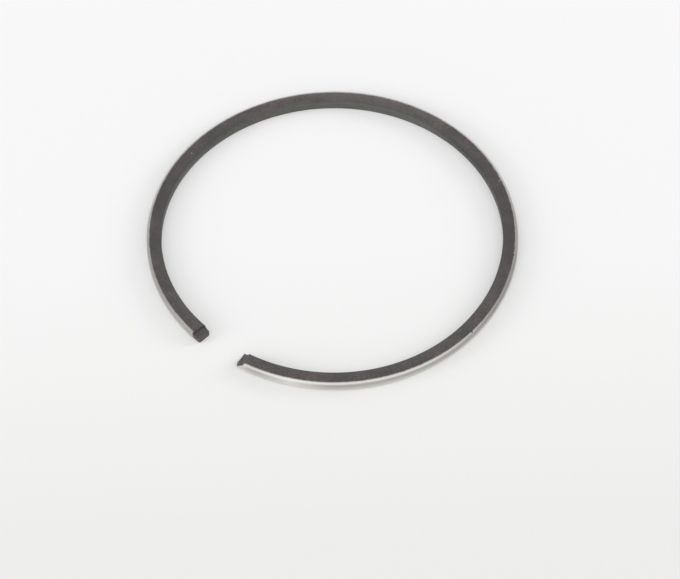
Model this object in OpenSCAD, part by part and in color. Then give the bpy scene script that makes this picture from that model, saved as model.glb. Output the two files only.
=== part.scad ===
// Split compression ring for a piston, lying free and sprung open.
// One piece of cast iron with a rounded running face and a side notch at each end.
// Units are mm, +Z is up, the lower side lies on z = 0 and the gap opens towards -Y.

/* [Ring] */
// Bore of the cylinder that the ring is made for
bore_d = 48; // [36:0.5:80]
// Radial width of the ring from its inner face to its running face
radial_w = 2.0; // [1.4:0.05:2.8]
// Axial height of the ring between its two sides
axial_h = 1.5; // [1.2:0.05:2.5]
// Gap between the two ends, on the middle line, when the ring lies free
free_gap = 6.25; // [3:0.05:10]
// Gap that is left between the ends when the ring is closed in its bore
closed_gap = 0.3; // [0.1:0.05:0.6]

/* [Edges] */
// Radius on the two edges of the running face
face_edge_r = 0.36; // [0.1:0.02:0.5]
// Chamfer on the two inner edges
inner_edge_c = 0.1; // [0.04:0.02:0.3]
// Chamfer on the outer upright edge of each end face
outer_end_c = 0.24; // [0.04:0.02:0.4]
// Chamfer on the inner upright edge of each end face
inner_end_c = 0.12; // [0.04:0.02:0.3]

/* [Pin notch] */
// Length of the notch back from each end, and the radius of its round inner end
notch_len = 1.05; // [0.5:0.05:2]
// Depth of the notch below the upper side
notch_depth = 0.55; // [0.3:0.05:0.7]
// Distance from the running face in to the centre of the round inner end
notch_reach = 1.25; // [0.8:0.05:1.6]
// Radius in the root of the notch
notch_root_r = 0.45; // [0.05:0.01:0.5]

/* [Hidden] */
$fn = 180;
// Length of a cut past the face that it opens
cut_over = 0.5;

// Middle line of the closed ring: its radius, and the length of each half of it
mid_r = (bore_d - radial_w) / 2;
half_len = PI * mid_r - closed_gap / 2;

// A free ring that will press evenly on its bore is less curved than the closed ring, by the
// share k * (1 + cos(angle from the back)). The mean of that over the back half and over the
// front quarters gives the two radii of the free middle line, to the nearest micron.
function micron(x) = round(x * 1000) / 1000;
function back_r(k) = micron(mid_r / (1 - k * (1 + 2 / PI)));
function front_r(k) = micron(mid_r / (1 - k * (1 - 2 / PI)));
// Angle that each front arc turns through, and the gap that this leaves
function front_turn(k) = (half_len - back_r(k) * PI / 2) / front_r(k) * 180 / PI;
function gap_left(k) = 2 * (back_r(k) - front_r(k) + front_r(k) * cos(front_turn(k)));
// Share that leaves the wanted gap, closing in on it from a first guess
function share_for(gap, k, tries) = tries == 0 ? k : share_for(gap, k * gap / gap_left(k), tries - 1);
ease = share_for(free_gap, free_gap / (3 * PI * mid_r), 8);

r_back = back_r(ease);
r_front = front_r(ease);
turn = front_turn(ease);
front_x = r_back - r_front;
// The back of the ring and the chamfered outer corners of its ends are as far from the X axis
end_reach = (r_front + radial_w / 2) * sin(turn) - outer_end_c * cos(turn);
back_reach = r_back + radial_w / 2;
middle_y = (back_reach - end_reach) / 2;

// Section of the ring: x from the middle line towards the bore wall, y up from the lower side
module section() {
    in_x = -radial_w / 2;
    edge_x = radial_w / 2 - face_edge_r;
    difference() {
        translate([in_x, 0])
            square([radial_w, axial_h]);
        for (y = [0, axial_h])
            translate([in_x, y])
                rotate(45)
                    square(inner_edge_c * sqrt(2), center = true);
        difference() {
            translate([edge_x, -cut_over])
                square([face_edge_r + cut_over, axial_h + 2 * cut_over]);
            translate([edge_x - cut_over, face_edge_r])
                square([face_edge_r + cut_over, axial_h - 2 * face_edge_r]);
            for (y = [face_edge_r, axial_h - face_edge_r])
                translate([edge_x, y])
                    circle(face_edge_r);
        }
    }
}

// An arc of the ring about the Z axis, with its middle line at radius r
module arc(r, start, angle) {
    rotate_extrude(angle = angle, start = start)
        translate([r, 0])
            section();
}

// Half section of the notch cutter: x from its axis, y up from the floor of the notch
module cutter_section() {
    difference() {
        square([notch_len, notch_depth + cut_over]);
        difference() {
            translate([notch_len - notch_root_r, -cut_over])
                square([notch_root_r + cut_over, notch_root_r + cut_over]);
            translate([notch_len - notch_root_r, notch_root_r])
                circle(notch_root_r);
        }
    }
}

// The notch, drawn with the end face on y = 0, the ring above it and x outwards. It is a slot
// milled in from the running face, and a round end is left where the cutter stopped.
module notch() {
    translate([radial_w / 2 - notch_reach, 0, axial_h - notch_depth]) {
        rotate_extrude()
            cutter_section();
        rotate([90, 0, 90])
            linear_extrude(notch_reach + cut_over) {
                cutter_section();
                mirror([1, 0])
                    cutter_section();
            }
    }
}

// Cutter for the chamfer of size c on an upright edge of the end face at x, drawn as the notch is
module end_chamfer(x, c) {
    side = c * sqrt(2);
    translate([x, 0, axial_h / 2])
        rotate(45)
            cube([side, side, axial_h + 2 * cut_over], center = true);
}

// One front arc, from the side of the ring to its end
module front_arc() {
    translate([front_x, 0, 0])
        difference() {
            arc(r_front, -turn, turn);
            rotate(-turn)
                translate([r_front, 0, 0]) {
                    notch();
                    end_chamfer(radial_w / 2, outer_end_c);
                    end_chamfer(-radial_w / 2, inner_end_c);
                }
        }
}

// The whole ring: the back half and the two front arcs
module piston_ring() {
    color([0.35, 0.34, 0.33])
        translate([0, -middle_y, 0]) {
            arc(r_back, 0, 180);
            front_arc();
            mirror([1, 0, 0])
                front_arc();
        }
}

piston_ring();
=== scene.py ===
import bpy
from math import acos, atan2, cos, hypot, pi, radians, sin
from mathutils import Matrix, Vector


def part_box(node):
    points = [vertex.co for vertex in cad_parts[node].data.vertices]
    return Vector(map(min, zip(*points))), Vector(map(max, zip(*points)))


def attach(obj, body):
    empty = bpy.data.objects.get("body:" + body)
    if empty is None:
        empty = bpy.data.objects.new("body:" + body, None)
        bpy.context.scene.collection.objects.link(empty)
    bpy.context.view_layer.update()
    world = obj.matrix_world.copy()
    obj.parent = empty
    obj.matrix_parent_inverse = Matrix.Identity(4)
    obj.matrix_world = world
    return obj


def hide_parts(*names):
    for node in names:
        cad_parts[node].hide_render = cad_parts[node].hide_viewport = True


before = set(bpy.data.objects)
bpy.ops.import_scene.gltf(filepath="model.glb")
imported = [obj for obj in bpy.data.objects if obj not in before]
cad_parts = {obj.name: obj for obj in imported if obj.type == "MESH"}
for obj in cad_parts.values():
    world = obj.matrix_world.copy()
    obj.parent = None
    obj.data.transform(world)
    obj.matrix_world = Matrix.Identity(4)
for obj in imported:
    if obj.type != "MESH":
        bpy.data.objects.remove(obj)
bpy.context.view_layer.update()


# The ring: one piece of cast iron, turned, split and sprung open, with a ground running face.
# Its back half is one arc, and each front arc is a little tighter and ends at the gap.
# It is drawn in millimetres, because edge tools need room, and brought to metres when whole.
MM = 1000
ring_low, ring_high = (Vector(corner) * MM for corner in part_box("piston_ring"))
ring_h = ring_high.z - ring_low.z
ring_w = 2.0
free_gap = 6.25
front_r = 23.237
back_r = ring_high.x - ring_w / 2
front_x = back_r - front_r
centre_y = ring_high.y - ring_w / 2 - back_r
front_turn = acos((free_gap / 2 - front_x) / front_r)
running_edge_r = 0.36
inner_edge_r = 0.10
touch = 0.002
weld = 0.0002


def select(kind, wanted):
    """Selects the vertices, edges or faces of the open mesh that are wanted, and nothing else."""
    bpy.ops.object.mode_set(mode="EDIT")
    bpy.ops.mesh.select_mode(type=kind)
    bpy.ops.mesh.select_all(action="DESELECT")
    bpy.ops.object.mode_set(mode="OBJECT")
    mesh = bpy.context.object.data
    items = {"VERT": mesh.vertices, "EDGE": mesh.edges, "FACE": mesh.polygons}[kind]
    for item in items:
        item.select = wanted(item)
    bpy.ops.object.mode_set(mode="EDIT")


def make_sound():
    """Merges doubled points of the open mesh and turns its faces outwards."""
    bpy.ops.object.mode_set(mode="EDIT")
    bpy.ops.mesh.select_all(action="SELECT")
    bpy.ops.mesh.remove_doubles(threshold=weld)
    bpy.ops.mesh.normals_make_consistent(inside=False)
    bpy.ops.object.mode_set(mode="OBJECT")


# The section stands at the back, rounded on its running side and eased on its inner side.
# It is swept round the back half and then the front arc of the right half of the ring.
back_y = centre_y + back_r
bpy.ops.object.select_all(action="DESELECT")
bpy.ops.mesh.primitive_plane_add(size=1, location=(0, back_y, ring_h / 2), rotation=(0, pi / 2, 0))
ring = bpy.context.object
ring.name = ring.data.name = "ring"
ring.scale = (ring_h, ring_w, 1)
bpy.ops.object.transform_apply()
select("VERT", lambda v: v.co.y > back_y)
bpy.ops.mesh.bevel(offset=running_edge_r, segments=10, affect="VERTICES")
select("VERT", lambda v: v.co.y < back_y - ring_w / 2 + touch)
bpy.ops.mesh.bevel(offset=inner_edge_r, segments=3, affect="VERTICES")
bpy.ops.mesh.select_all(action="SELECT")
bpy.ops.mesh.spin(steps=120, angle=pi / 2, center=(0, centre_y, 0), axis=(0, 0, 1))
bpy.ops.mesh.spin(steps=100, angle=front_turn, center=(front_x, centre_y, 0), axis=(0, 0, 1))
make_sound()


# The end: the iron is cut through at the gap, and each end is dressed. The outer upright corner
# of the end face is worn round, and its other edges are only broken, by a share of that radius.
corner_r = 0.24
inner_share, side_share = 0.33, 0.25
end_zone = 2 * ring_w
end_point = Vector((front_x + front_r * cos(front_turn), centre_y - front_r * sin(front_turn), 0))
along_ring = Vector((sin(front_turn), cos(front_turn), 0))
end_outward = Vector((cos(front_turn), -sin(front_turn), 0))


def from_end(point):
    """Distance of a point of the right half from its end face, back along the ring."""
    return (point - end_point).dot(along_ring)


def corner_share(edge):
    """Share of the corner's radius that an edge gets: none for an edge that isn't on the end face."""
    points = [ring.data.vertices[v].co for v in edge.vertices]
    if any(abs(from_end(p)) > touch or (p - end_point).length > end_zone for p in points):
        return 0
    outward = (points[0] + points[1] - 2 * end_point).dot(end_outward) / 2
    if outward < inner_edge_r - ring_w / 2:
        return inner_share
    round_from = ring_w / 2 - running_edge_r
    return side_share + (1 - side_share) * max(0, outward - round_from) / running_edge_r


shares = ring.data.attributes.new("bevel_weight_edge", "FLOAT", "EDGE")
for edge in ring.data.edges:
    shares.data[edge.index].value = corner_share(edge)
corners = ring.modifiers.new("end_corners", "BEVEL")
corners.limit_method = "WEIGHT"
corners.width = corner_r
corners.segments = 4
corners.use_clamp_overlap = False
bpy.ops.object.modifier_apply(modifier=corners.name)


# The pin notch: a slot milled down from the upper side and in from the running face. The cutter
# leaves a round inner end and a large radius in the root.
notch_len = 1.05
notch_depth = 0.55
notch_reach = 1.25
notch_root_r = 0.45
cut_over = 0.5
bpy.ops.object.select_all(action="DESELECT")
bpy.ops.mesh.primitive_cylinder_add(vertices=64, radius=notch_len, depth=notch_depth + cut_over)
cutter = bpy.context.object
select("FACE", lambda f: f.normal.x > touch and abs(f.normal.z) < 0.5)
bpy.ops.mesh.extrude_region_move(TRANSFORM_OT_translate={"value": (notch_reach, 0, 0)})
bpy.ops.mesh.select_all(action="SELECT")
bpy.ops.mesh.dissolve_limited(angle_limit=radians(1))
cutter_low = -(notch_depth + cut_over) / 2
select("EDGE", lambda e: all(cutter.data.vertices[v].co.z < cutter_low + touch for v in e.vertices))
bpy.ops.mesh.bevel(offset=notch_root_r, segments=10, affect="EDGES")
make_sound()
cutter.rotation_euler = (0, 0, -front_turn)
cutter.location = end_point + (ring_w / 2 - notch_reach) * end_outward
cutter.location.z = ring_h - notch_depth - cutter_low
bpy.ops.object.transform_apply()
bpy.ops.object.select_all(action="DESELECT")
bpy.context.view_layer.objects.active = ring
ring.select_set(True)
notch = ring.modifiers.new("pin_notch", "BOOLEAN")
notch.operation = "DIFFERENCE"
notch.solver = "EXACT"
notch.object = cutter
bpy.ops.object.modifier_apply(modifier=notch.name)
bpy.data.objects.remove(cutter)


# The edges that the cutter left sharp are broken, and then comes the other half. Cuts follow the
# border of the ground area beside the notch: a slope on the right, a step on the left.
edge_break = 0.06
slope_foot_z = 0.32
step_z = 0.32
step_start = 1.20
up = Vector((0, 0, 1))
select("FACE", lambda f: abs(f.center.x) < touch)
bpy.ops.mesh.delete(type="FACE")
bpy.ops.object.mode_set(mode="OBJECT")
edges = ring.modifiers.new("edge_break", "BEVEL")
edges.limit_method = "ANGLE"
edges.angle_limit = radians(45)
edges.width = edge_break
edges.segments = 2
edges.use_clamp_overlap = False
bpy.ops.object.modifier_apply(modifier=edges.name)
for cut_point, cut_normal in (
    (end_point + slope_foot_z * up, along_ring - up),
    (end_point + step_z * up, up),
    (end_point + step_start * along_ring, along_ring),
):
    select("FACE", lambda f: (f.center - end_point).length < end_zone)
    bpy.ops.mesh.bisect(plane_co=cut_point, plane_no=cut_normal, threshold=weld)
bpy.ops.object.mode_set(mode="OBJECT")
mirror = ring.modifiers.new("other_half", "MIRROR")
mirror.merge_threshold = touch
bpy.ops.object.modifier_apply(modifier=mirror.name)
make_sound()

# Merging leaves a loose sliver on each notch, and it hangs on the only open edge there.
select("EDGE", lambda e: False)
bpy.ops.mesh.select_non_manifold(
    use_wire=False, use_multi_face=False, use_non_contiguous=False, use_verts=False
)
bpy.ops.mesh.delete(type="EDGE")
bpy.ops.object.mode_set(mode="OBJECT")


# Two nicks that handling has left in the upper outer edge, on the right of the ring. In each one
# the iron is pressed in along a short crease, which the grinding didn't reach.
nick_w = 0.32
nick_zone, nick_reach = 1.5 * ring_w, 0.4 * ring_w
crease_end, crease_reach = 1.6 * running_edge_r, 1.2 * running_edge_r
deep_nick, slight_nick = radians(-2.4), radians(30.5)
nicks = []
for nick_angle, nick_depth, coat_reach in ((deep_nick, 0.08, 0.35), (slight_nick, 0.05, 0.15)):
    arc_x, arc_r = (front_x, front_r) if nick_angle < 0 else (0, back_r)
    nick_out = Vector((cos(nick_angle), sin(nick_angle), 0))
    nick_along = Vector((-nick_out.y, nick_out.x, 0))
    nick_point = Vector((arc_x, centre_y, ring_h)) + (arc_r + ring_w / 2) * nick_out
    nicks.append((nick_point, nick_along, coat_reach))
    cuts = [(nick_point + step * nick_w * nick_along, nick_along) for step in (-0.5, 0, 0.5)]
    cuts.append((nick_point - crease_end * nick_out, nick_out))
    for cut_point, cut_normal in cuts:
        select("FACE", lambda f: (f.center - nick_point).length < nick_zone)
        bpy.ops.mesh.bisect(plane_co=cut_point, plane_no=cut_normal, threshold=weld)

    def in_crease(vertex):
        """Whether a point of the mesh lies on the middle of the nick, on the rounded edge."""
        offset = vertex.co - nick_point
        on_cut = abs(offset.dot(nick_along)) < touch and offset.length < ring_w
        return on_cut and offset.dot(nick_out) + offset.z > -crease_reach

    select("VERT", in_crease)
    bpy.ops.transform.translate(value=-nick_depth * (nick_out + up))
    bpy.ops.object.mode_set(mode="OBJECT")


# The ground area: the running face and its rounded edges, where grinding takes the coat off the
# iron. Each point of the ring gets its distance inside the border of that area, below zero on the
# coat. Grinding missed some strips: each has its angle, half width in degrees and reach over the edge.
missed_strips = ((-110, 26, 0.13), (-98, 8, 0.08), (10, 30, 0.08), (-20, 40, 0.035))


def arc_frame(point):
    """The way out from the middle line and the distance from it, for a point of the ring."""
    side = front_x if point.x > 0 else -front_x
    centre = Vector((side if point.y < centre_y else 0, centre_y, 0))
    out = (point - centre) * Vector((1, 1, 0))
    return out.normalized(), out.length - (front_r if point.y < centre_y else back_r)


def outwards(point):
    """Distance of a point from the middle line of the ring, outwards."""
    return arc_frame(point)[1]


def near(point, middle, width):
    """1 at an angle round the ring, in degrees, falling to 0 at a width to either side of it."""
    out = arc_frame(point)[0]
    turned = (atan2(out.y, out.x) - radians(middle) + pi) % (2 * pi) - pi
    return max(0, 1 - abs(turned) / radians(width))


def coat_left(point):
    """How far the coat reaches over the upper rounding at a point, past the border elsewhere."""
    if point.z < ring_h / 2:
        return 0
    left_in_nicks = 0
    for nick_point, nick_along, coat_reach in nicks:
        offset = point - nick_point
        if offset.length < nick_reach:
            in_nick = max(0, 1 - abs(offset.dot(nick_along)) / (nick_w / 2))
            left_in_nicks = max(left_in_nicks, coat_reach * in_nick)
    missed = sum(strip * near(point, middle, width) for middle, width, strip in missed_strips)
    return missed + left_in_nicks


def inside_ground(point):
    """Millimetres from a point in to the border of the ground area."""
    past = outwards(point) - (ring_w / 2 - running_edge_r)
    above = max(point.z - (ring_h - running_edge_r), running_edge_r - point.z)
    if past < 0:
        across = past
    elif above > 0:
        across = running_edge_r * atan2(past, above)
    else:
        across = running_edge_r * pi / 2 - above
    back = from_end(Vector((abs(point.x), point.y, point.z)))
    if point.y > centre_y:
        back = ring_w
    if point.x > 0:
        below = (back + slope_foot_z - point.z) * cos(pi / 4)
    else:
        below = max(step_z - point.z, back - step_start)
    return min(across - coat_left(point), below, back - corner_r / 2)


# Shade and tone: painted shade darkens the coat in the root of the left notch and on the left end face,
# and the coat is made darker on the sides and round the bore and lighter in places. The ground metal gets
# painted highlights and is made darker in places. A stretch has its angle and half width in degrees, how
# steeply it rises and its most.
side_darkening = ((50, 50, 1.552, 0.58), (-165, 65, 1.552, 0.58))
bore_darkening = (80, 30, 1, 0.75)
bore_side_factor, bore_foot = 1.8, 0.3
lighter_strip, lighter_by = (122, 75, 1.4, 1), 0.17
# Painted shade on the left end face, in the gap, and in the root of the left notch; the right notch is
# made lighter.
end_shade, notch_lighter = 0.7, 0.15
root_shade, root_shade_r, root_shade_fade = 1.35, 0.96, 0.2
notch_zone = 1.5 * notch_len
# Painted highlights on the ground metal, and stretches, lines and flats where it is made darker.
painted_highlights = ((-66, 13, 1, 1), (-84, 10, 1, 0.5), (-160, 14, 1, 0.5))
darker_lines = ((17, 40, 1.3, 1), (-119, 26, 1.6, 0.38))
darker_line_z, darker_line_up, darker_line_down = 1.27, 0.25, 0.36
darker_flats = ((38, 24, 1, 1.1), (-142, 14, 1, 0.2))
darker_flat_top, darker_flat_fade = 1.42, 0.25
darker_end = (-99, 6, 1, 0.35)


def stretch_most(point, *stretches):
    """The most that any of the stretches gives at a point."""
    return max(
        most * min(1, rise * near(point, middle, width)) for middle, width, rise, most in stretches
    )


def shade_and_tone(point):
    """How much darker the coat is made: most for painted shade in the root of the left notch, below 0
    where it is made lighter.
    """
    sides = stretch_most(point, *side_darkening)
    upper = point.z > ring_h / 2
    if outwards(point) < -ring_w / 2 + touch:
        return (bore_side_factor * sides + stretch_most(point, bore_darkening)) * (1 if upper else bore_foot)
    if point.y > centre_y:
        lighter = stretch_most(point, lighter_strip) if upper and outwards(point) > 0 else 0
        return sides * (1 - lighter) - lighter_by * lighter
    # Near the ends: painted shade on the left end face and in the root of the left notch, and the right
    # notch made lighter.
    from_start = Vector((abs(point.x), point.y, 0)) - end_point
    back = from_start.dot(along_ring)
    inwards = min(0, from_start.dot(end_outward) - (ring_w / 2 - notch_reach))
    from_axis = hypot(back, inwards)
    in_notch_height = ring_h - notch_depth - touch <= point.z <= ring_h - touch
    if not in_notch_height or from_axis > notch_zone:
        return sides + (end_shade if point.x < 0 and abs(back) < touch else 0)
    if point.x > 0:
        return -notch_lighter
    return max(0, root_shade - abs(from_axis - root_shade_r) / root_shade_fade)


def painted_highlight_and_darker(point):
    """How much painted highlight the ground metal gets at a point, or below 0 how much darker it is made.
    """
    over_line = point.z - darker_line_z
    line = max(0, 1 - max(over_line / darker_line_up, -over_line / darker_line_down))
    flat = min(1, max(0, (darker_flat_top - point.z) / darker_flat_fade))
    darker_flat = min(1, flat * stretch_most(point, *darker_flats))
    darker_metal = max(line * stretch_most(point, *darker_lines), darker_flat, stretch_most(point, darker_end))
    return stretch_most(point, *painted_highlights) - darker_metal


for name, worth in (
    ("ground", inside_ground), ("shade_and_tone", shade_and_tone), ("painted_highlight_and_darker", painted_highlight_and_darker), ("outwards", outwards),
):
    layer = ring.data.attributes.new(name, "FLOAT", "POINT")
    for vertex in ring.data.vertices:
        layer.data[vertex.index].value = worth(vertex.co)
ring.scale = (1 / MM,) * 3
bpy.ops.object.transform_apply()
bpy.ops.object.shade_smooth_by_angle(angle=radians(35))
flat_sides = ring.modifiers.new("flat_sides", "WEIGHTED_NORMAL")
flat_sides.keep_sharp = True
bpy.ops.object.modifier_apply(modifier=flat_sides.name)


# The finish: a thin coat of dark phosphate, grown on the iron in a bath, covers the whole ring. On
# the running face it is ground away to bright metal, with fine grinding lines round the ring.
def attribute(nodes, name):
    """The worth of one of the ring's own attributes."""
    node = nodes.new("ShaderNodeAttribute")
    node.attribute_name = name
    return node.outputs["Fac"]


def noise(nodes, links, place, scale, detail, roughness):
    """A noise texture on the object's own coordinates, scaled along each axis."""
    mapping = nodes.new("ShaderNodeMapping")
    mapping.inputs["Scale"].default_value = scale
    links.new(place, mapping.inputs["Vector"])
    texture = nodes.new("ShaderNodeTexNoise")
    texture.inputs["Scale"].default_value = 1
    texture.inputs["Detail"].default_value = detail
    texture.inputs["Roughness"].default_value = roughness
    links.new(mapping.outputs["Vector"], texture.inputs["Vector"])
    return texture.outputs["Fac"]


def ramp(nodes, links, value, *stops):
    """A colour ramp over a value: each stop is a position and a colour."""
    colours = nodes.new("ShaderNodeValToRGB")
    elements = colours.color_ramp.elements
    for index, (position, colour) in enumerate(stops):
        stop = elements[index] if index < 2 else elements.new(position)
        stop.position = position
        stop.color = (*colour, 1)
    links.new(value, colours.inputs["Fac"])
    return colours.outputs["Color"]


def spread(nodes, links, value, start, stop, low, high):
    """A value between start and stop, spread from low to high."""
    map_range = nodes.new("ShaderNodeMapRange")
    for name, number in (("From Min", start), ("From Max", stop), ("To Min", low), ("To Max", high)):
        map_range.inputs[name].default_value = number
    links.new(value, map_range.inputs["Value"])
    return map_range.outputs["Result"]


def mix(nodes, links, kind, share, first, second):
    """First where the share is 0, second where it is 1: of two numbers or of two colours."""
    node = nodes.new("ShaderNodeMix")
    node.data_type = kind
    inputs = [socket for socket in node.inputs if socket.enabled]
    for socket, source in zip(inputs, (share, first, second)):
        links.new(source, socket)
    return next(socket for socket in node.outputs if socket.enabled)


def add(nodes, links, first, second):
    """The sum of two values."""
    node = nodes.new("ShaderNodeMath")
    node.operation = "ADD"
    links.new(first, node.inputs[0])
    links.new(second, node.inputs[1])
    return node.outputs["Value"]


def bump(nodes, links, height, strength, depth):
    """A surface that is roughened by a height."""
    node = nodes.new("ShaderNodeBump")
    node.inputs["Strength"].default_value = strength
    node.inputs["Distance"].default_value = depth
    links.new(height, node.inputs["Height"])
    return node.outputs["Normal"]


def mark(nodes, links, place, angle, from_middle, lean, size):
    """A small mark at an angle round the ring, leaning from the way out: 1 inside, 0 at its edge."""
    arc_x, arc_r = (front_x, front_r) if sin(angle) < 0 else (0, back_r)
    arc_x = arc_x if cos(angle) > 0 else -arc_x
    out = Vector((cos(angle), sin(angle), 0))
    middle = Vector((arc_x, centre_y, ring_h)) + (arc_r + from_middle) * out
    mapping = nodes.new("ShaderNodeMapping")
    mapping.vector_type = "TEXTURE"
    mapping.inputs["Location"].default_value = middle / MM
    mapping.inputs["Rotation"].default_value = (0, 0, angle + lean)
    mapping.inputs["Scale"].default_value = Vector(size) / MM
    links.new(place, mapping.inputs["Vector"])
    length = nodes.new("ShaderNodeVectorMath")
    length.operation = "LENGTH"
    links.new(mapping.outputs["Vector"], length.inputs[0])
    return spread(nodes, links, length.outputs["Value"], 0.4, 1, 1, 0)


finish = bpy.data.materials.new("phosphate_and_ground_metal")
finish.use_nodes = True
nodes, links = finish.node_tree.nodes, finish.node_tree.links
shader = nodes["Principled BSDF"]
shader.inputs["Specular IOR Level"].default_value = 0.35
place = nodes.new("ShaderNodeTexCoord").outputs["Object"]
inside = attribute(nodes, "ground")
from_middle = attribute(nodes, "outwards")
shade_and_tone_value = attribute(nodes, "shade_and_tone")
highlight_and_darker_value = attribute(nodes, "painted_highlight_and_darker")

# The border between coat and metal wanders a little, and the coat thins out over it
wander = noise(nodes, links, place, (1500, 1500, 1500), 3, 0.6)
border = add(nodes, links, inside, spread(nodes, links, wander, 0.3, 0.7, -0.02, 0.05))
bare = spread(nodes, links, border, -0.06, 0.10, 0, 1)

# The coat: brownish grey blotches of fine crystals, greyer towards the bore
blotches = noise(nodes, links, place, (420, 420, 420), 6, 0.72)
grain = noise(nodes, links, place, (2600, 2600, 2600), 3, 0.7)
crystals = noise(nodes, links, place, (24000, 24000, 24000), 3, 0.6)
coat_roughness = spread(nodes, links, crystals, 0.3, 0.7, 0.44, 0.60)
coat_colour = ramp(
    nodes, links, add(nodes, links, blotches, spread(nodes, links, grain, 0.3, 0.7, -0.22, 0.22)),
    (0.34, (0.063, 0.064, 0.059)), (0.46, (0.082, 0.074, 0.073)),
    (0.56, (0.102, 0.081, 0.084)), (0.68, (0.118, 0.103, 0.099)),
)
bore_colour = ramp(nodes, links, blotches, (0.36, (0.085, 0.087, 0.078)), (0.64, (0.099, 0.098, 0.088)))
# A dark coat colour, for painted shade and for the darker places
shade_and_darker_coat = ramp(nodes, links, crystals, (0.3, (0.030, 0.029, 0.028)), (0.7, (0.040, 0.038, 0.037)))
scuffed_and_lighter = ramp(nodes, links, crystals, (0.3, (0.26, 0.255, 0.25)), (0.7, (0.34, 0.335, 0.33)))
towards_bore = spread(nodes, links, from_middle, -0.98, 0.1, 0.5, 0)
# The coat is made darker along the inner edge of the upper side
inner_edge = spread(nodes, links, from_middle, -0.98, -0.76, 0.25, 0)
in_bore = spread(nodes, links, from_middle, -0.995, -0.985, 1, 0)

# What use has left on it: a light speck and a short scratch. Then painted shade in the root of the left
# notch and on the left end face, and the coat made darker on the sides, round the bore and in the nicks,
# and lighter in places
speck = mark(nodes, links, place, radians(-178.3), -0.24, 0, (0.16, 0.16, 0.1))
scratch = mark(nodes, links, place, radians(60.6), 0.45, radians(31), (0.40, 0.11, 0.1))
scuffs = add(nodes, links, speck, scratch)
patchy = add(nodes, links, shade_and_tone_value, spread(nodes, links, grain, 0.3, 0.7, -0.7, 0))
shade_and_darker_share = spread(nodes, links, patchy, 0, 1, 0, 1)
lighter_share = spread(nodes, links, shade_and_tone_value, 0, -1, 0, 1)
# The coat is made darker in the pits of the nicks
deep_nick_dark = mark(nodes, links, place, deep_nick, 0.84, 0, (0.28, 0.13, 0.35))
slight_nick_dark = mark(nodes, links, place, slight_nick, 0.60, 0, (0.16, 0.14, 0.3))
nick_darkening = add(nodes, links, deep_nick_dark, slight_nick_dark)
for share, colour in (
    (towards_bore, bore_colour), (inner_edge, shade_and_darker_coat), (in_bore, bore_colour), (scuffs, scuffed_and_lighter),
    (shade_and_darker_share, shade_and_darker_coat), (lighter_share, scuffed_and_lighter), (nick_darkening, shade_and_darker_coat),
):
    coat_colour = mix(nodes, links, "RGBA", share, coat_colour, colour)

# The metal: darker on the flat of the running face than on its rounded edges, a painted shade for the
# shadowed floor that the flat mirrors, with a painted glint near the floor
grinding = noise(nodes, links, place, (260, 260, 36000), 3, 0.65)
metal_roughness = spread(nodes, links, grinding, 0.3, 0.7, 0.28, 0.40)
rounding = ramp(nodes, links, grinding, (0.30, (0.66, 0.63, 0.605)), (0.70, (0.74, 0.71, 0.68)))
shaded_flat_face = ramp(nodes, links, grinding, (0.30, (0.43, 0.425, 0.405)), (0.70, (0.51, 0.505, 0.48)))
bright = ramp(nodes, links, grinding, (0.30, (0.785, 0.765, 0.735)), (0.70, (0.865, 0.845, 0.815)))
darker_metal = ramp(nodes, links, grinding, (0.30, (0.245, 0.24, 0.23)), (0.70, (0.305, 0.30, 0.29)))
height = nodes.new("ShaderNodeSeparateXYZ")
links.new(place, height.inputs["Vector"])
# A painted glint on the metal near the floor
painted_glint_by_floor = spread(nodes, links, height.outputs["Z"], 0.0002, 0.0009, 0.8, 0)
shaded_flat_face = mix(nodes, links, "RGBA", painted_glint_by_floor, shaded_flat_face, bright)
on_flat = spread(nodes, links, inside, 0.28, 0.46, 0, 1)
metal_colour = mix(nodes, links, "RGBA", on_flat, rounding, shaded_flat_face)
for full, colour in ((1, bright), (-1, darker_metal)):
    metal_colour = mix(
        nodes, links, "RGBA", spread(nodes, links, highlight_and_darker_value, 0, full, 0, 1), metal_colour, colour
    )

links.new(mix(nodes, links, "RGBA", bare, coat_colour, metal_colour), shader.inputs["Base Color"])
links.new(mix(nodes, links, "FLOAT", bare, coat_roughness, metal_roughness), shader.inputs["Roughness"])
links.new(bare, shader.inputs["Metallic"])
surface = mix(nodes, links, "FLOAT", bare, crystals, grinding)
links.new(bump(nodes, links, surface, 0.2, 0.000006), shader.inputs["Normal"])
ring.data.materials.append(finish)

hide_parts("piston_ring")
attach(ring, "root")


# The camera: far off and above the front of the ring, with a long lens and a slight lean. The
# lens is given by its length in pixels of the picture, and the aim by metres from the ring's centre.
image_w = 680
lens_in_pixels = 6000
view_turn, view_height, view_lean = radians(40.347), radians(53.007), radians(-1.864)
view_distance = 0.8038
aim_right, aim_away = 0.0009292, -0.0079879
around = Matrix.Rotation(view_turn, 3, "Z")
aim_point = Vector((0, centre_y / MM, 0)) + around @ Vector((aim_right, aim_away, 0))
back_from_aim = around @ Vector((0, -cos(view_height), sin(view_height)))
lens = bpy.data.cameras.new("camera")
lens.sensor_width = 36
lens.lens = lens.sensor_width * lens_in_pixels / image_w
lens.clip_end = 20
camera = bpy.data.objects.new("camera", lens)
bpy.context.collection.objects.link(camera)
camera.location = aim_point + view_distance * back_from_aim
camera.rotation_euler = (
    around @ Matrix.Rotation(pi / 2 - view_height, 3, "X") @ Matrix.Rotation(view_lean, 3, "Z")
).to_euler()
bpy.context.scene.camera = camera


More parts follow.
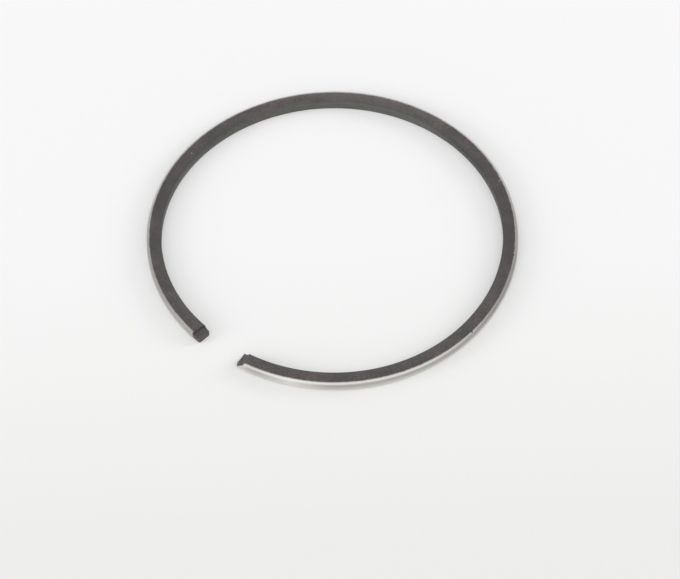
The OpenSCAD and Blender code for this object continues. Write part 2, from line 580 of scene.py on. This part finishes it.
# The floor: a plain white sheet that the ring lies on, painted a little darker towards the camera as a
# falloff of light.
# The eye and bright metal see part of it as plain white, so that the ring's shadow on it stays faint.
floor_size = 6
floor_drop = 0.00002
glow_share = 0.20
bpy.ops.object.select_all(action="DESELECT")
bpy.ops.mesh.primitive_plane_add(size=floor_size, location=(0, 0, -floor_drop))
floor = bpy.context.object
floor.name = "floor"
bpy.ops.object.transform_apply()


def along(nodes, links, place, way):
    """How far a place lies along a way."""
    node = nodes.new("ShaderNodeVectorMath")
    node.operation = "DOT_PRODUCT"
    node.inputs[1].default_value = way
    links.new(place, node.inputs[0])
    return node.outputs["Value"]


white = bpy.data.materials.new("white_sheet")
white.use_nodes = True
nodes, links = white.node_tree.nodes, white.node_tree.links
shader = nodes["Principled BSDF"]
shader.inputs["Roughness"].default_value = 0.9
shader.inputs["Specular IOR Level"].default_value = 0
glow = nodes.new("ShaderNodeEmission")
place = nodes.new("ShaderNodeTexCoord").outputs["Object"]
away = along(nodes, links, place, around @ Vector((0, 1, 0)))
# The sheet's colour is darker towards the camera: a painted falloff of light
sheet = ramp(
    nodes, links, spread(nodes, links, away, -0.05, 0.05, 0, 1),
    (0.0, (0.85, 0.85, 0.835)), (1.0, (0.94, 0.94, 0.94)), (0.5, (0.93, 0.93, 0.93)),
)
links.new(sheet, shader.inputs["Base Color"])
links.new(sheet, glow.inputs["Color"])
light_path = nodes.new("ShaderNodeLightPath")
seen_rays = add(nodes, links, light_path.outputs["Is Camera Ray"], light_path.outputs["Is Glossy Ray"])
seen_rays = add(nodes, links, seen_rays, light_path.outputs["Is Transmission Ray"])
both = nodes.new("ShaderNodeMixShader")
links.new(spread(nodes, links, seen_rays, 0, 1, 0, glow_share), both.inputs["Fac"])
links.new(shader.outputs["BSDF"], both.inputs[1])
links.new(glow.outputs["Emission"], both.inputs[2])
links.new(both.outputs["Shader"], nodes["Material Output"].inputs["Surface"])
floor.data.materials.append(white)


# The light: a white tent, brightest above the front of the ring and lit again behind it, and a soft
# box on each side. Each direction is given as seen by the camera: to the right, away from it and up.
tent_middle = Vector((0, -0.8, 0.6))
backdrop_middle = Vector((0, 0.98, 0.2))
box_distance, box_size, box_watts = 0.9, 0.35, 2.45
world = bpy.data.worlds.new("tent")
bpy.context.scene.world = world
world.use_nodes = True
nodes, links = world.node_tree.nodes, world.node_tree.links
background = nodes["Background"]
background.inputs["Color"].default_value = (1, 1, 1, 1)
direction = nodes.new("ShaderNodeTexCoord").outputs["Generated"]
towards_tent = along(nodes, links, direction, around @ tent_middle)
towards_backdrop = along(nodes, links, direction, around @ backdrop_middle)
tent = spread(nodes, links, towards_tent, 0.10, 0.75, 0.45, 1.08)
backdrop = spread(nodes, links, towards_backdrop, 0.70, 0.95, 0, 0.35)
links.new(add(nodes, links, tent, backdrop), background.inputs["Strength"])
for name, box_direction in (("left_box", (-0.85, -0.15, 0.30)), ("right_box", (0.83, 0.20, 0.30))):
    lamp = bpy.data.lights.new(name, "AREA")
    lamp.shape = "SQUARE"
    lamp.size = box_size
    lamp.energy = box_watts
    box = bpy.data.objects.new(name, lamp)
    bpy.context.collection.objects.link(box)
    towards_box = around @ Vector(box_direction).normalized()
    box.location = aim_point + box_distance * towards_box
    box.rotation_euler = towards_box.to_track_quat("Z", "Y").to_euler()
    box.visible_glossy = False

bpy.context.scene.view_settings.view_transform = "Standard"
